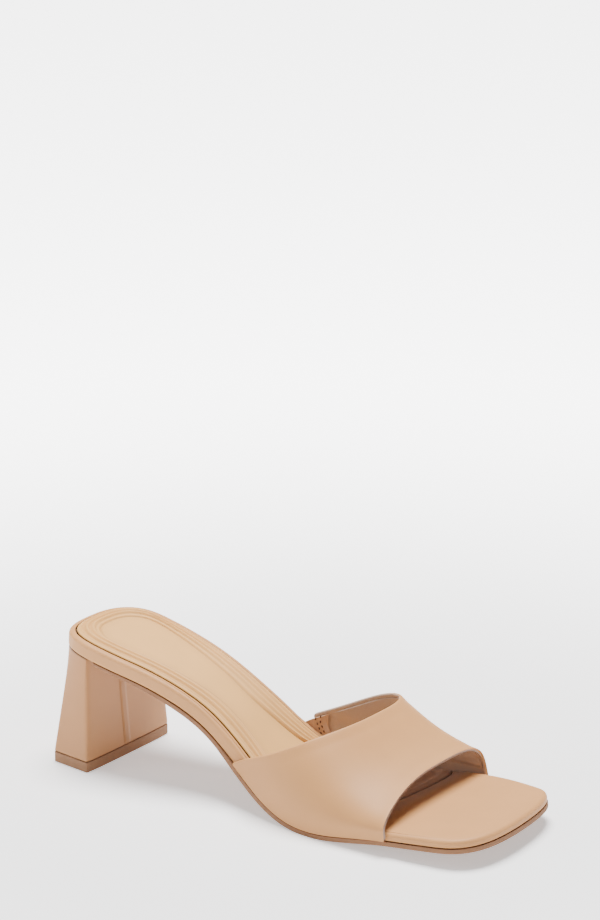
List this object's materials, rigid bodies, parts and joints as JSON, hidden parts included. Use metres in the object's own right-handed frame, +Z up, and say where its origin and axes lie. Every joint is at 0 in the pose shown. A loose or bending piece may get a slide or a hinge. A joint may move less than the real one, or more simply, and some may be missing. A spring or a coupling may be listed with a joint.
{
  "type": "heeled slide sandal",
  "caption": "Open-toe slide sandal with one wide vamp strap, a padded sock on a thin platform, a square toe and a flared block heel.",
  "frame": {"origin": "centre of the shoe's box on the floor", "axes": "+X towards the toe, +Y towards the inner (medial) side, +Z up from the floor"},
  "size_m": [0.2378, 0.0904, 0.0644],
  "materials": {
    "upper_leather": "smooth satin",
    "sock_leather": "soft satin",
    "gusset_lining": "matte",
    "outsole_rubber": "matte",
    "lift_rubber": "matte"
  },
  "bodies": {
    "root": {"outsole": "outsole_rubber", "platform": "upper_leather", "sock_pad": "sock_leather", "strap": "upper_leather", "gusset": "gusset_lining", "heel": "upper_leather", "heel_lift": "lift_rubber"}
  },
  "joints": []
}
